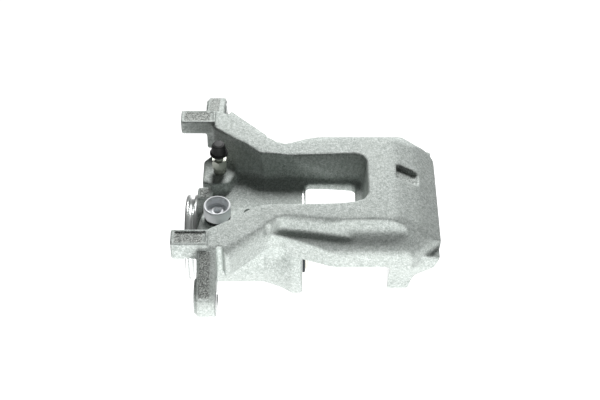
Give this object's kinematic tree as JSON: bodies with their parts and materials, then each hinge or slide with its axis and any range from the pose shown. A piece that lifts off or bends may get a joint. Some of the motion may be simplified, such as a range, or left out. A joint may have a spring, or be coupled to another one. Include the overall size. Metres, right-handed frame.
{
  "type": "brake caliper",
  "caption": "Floating rear brake caliper of zinc-plated iron with piston, parking-brake spindle, bleed screw and plugged hose port.",
  "frame": {"origin": "midway between the two guide-pin holes, on the plane of their outboard pad faces", "axes": "+X along the piston toward the outer pad, +Y across the caliper from one guide pin to the other, +Z away from the wheel's axle"},
  "size_m": [0.1504, 0.1696, 0.0946],
  "materials": {
    "zinc_plated_iron": "zinc plated, shot-blast grain",
    "chromed_steel": "ground and plated",
    "bright_steel": "machined",
    "bearing_steel": "ground",
    "zinc_steel_fitting": "zinc plated",
    "black_rubber": "matt",
    "boot_rubber": "matt",
    "white_plastic": "satin"
  },
  "bodies": {
    "housing": {"caliper_housing": "zinc_plated_iron", "piston_seal": "black_rubber", "dust_boot": "boot_rubber", "boot_ring": "bright_steel", "spindle_o_ring": "black_rubber", "bearing_washer_rear": "bearing_steel"},
    "piston": {"piston": "chromed_steel"},
    "spindle": {"spindle": "bright_steel", "spindle_circlip": "bearing_steel", "bearing_washer_front": "bearing_steel"},
    "spindle_nut": {"spindle_nut": "bright_steel"},
    "bearing": {"bearing_cage": "zinc_steel_fitting", "bearing_roller_01": "bearing_steel", "bearing_roller_02": "bearing_steel", "bearing_roller_03": "bearing_steel", "bearing_roller_04": "bearing_steel", "bearing_roller_05": "bearing_steel", "bearing_roller_06": "bearing_steel", "bearing_roller_07": "bearing_steel", "bearing_roller_08": "bearing_steel", "bearing_roller_09": "bearing_steel", "bearing_roller_10": "bearing_steel", "bearing_roller_11": "bearing_steel", "bearing_roller_12": "bearing_steel"},
    "bleeder": {"bleeder_screw": "zinc_steel_fitting"},
    "bleeder_cap": {"bleeder_cap": "black_rubber"},
    "port_plug": {"port_plug": "white_plastic", "port_seal": "black_rubber"}
  },
  "joints": [
    {"name": "piston_slide", "type": "slide", "parent": "housing", "child": "piston", "axis": [1, 0, 0], "range_m": [0, 0.02], "deforming": ["dust_boot"]},
    {"name": "spindle_spin", "type": "hinge", "parent": "housing", "child": "spindle", "pos_m": [-0.0037, 0, -0.0313], "axis": [1, 0, 0], "range_deg": [0, 1080]},
    {"name": "nut_slide", "type": "slide", "parent": "housing", "child": "spindle_nut", "axis": [1, 0, 0], "range_m": [0, 0.006]},
    {"name": "bearing_spin", "type": "hinge", "parent": "housing", "child": "bearing", "pos_m": [-0.0037, 0, -0.0313], "axis": [1, 0, 0], "range_deg": [0, 540]},
    {"name": "bleeder_turn", "type": "hinge", "parent": "housing", "child": "bleeder", "pos_m": [-0.0023, 0.0206, 0.0087], "axis": [0, 0, 1], "range_deg": [0, 270]},
    {"name": "bleeder_cap_pull", "type": "slide", "parent": "bleeder", "child": "bleeder_cap", "axis": [0, 0, 1], "range_m": [0, 0.025]},
    {"name": "port_plug_pull", "type": "slide", "parent": "housing", "child": "port_plug", "axis": [0, 0, 1], "range_m": [0, 0.03]}
  ],
  "couplings": [
    {"joint": "spindle_spin", "follows": "nut_slide", "rad_per_m": 3141.6},
    {"joint": "bearing_spin", "follows": "nut_slide", "rad_per_m": 1570.8}
  ]
}
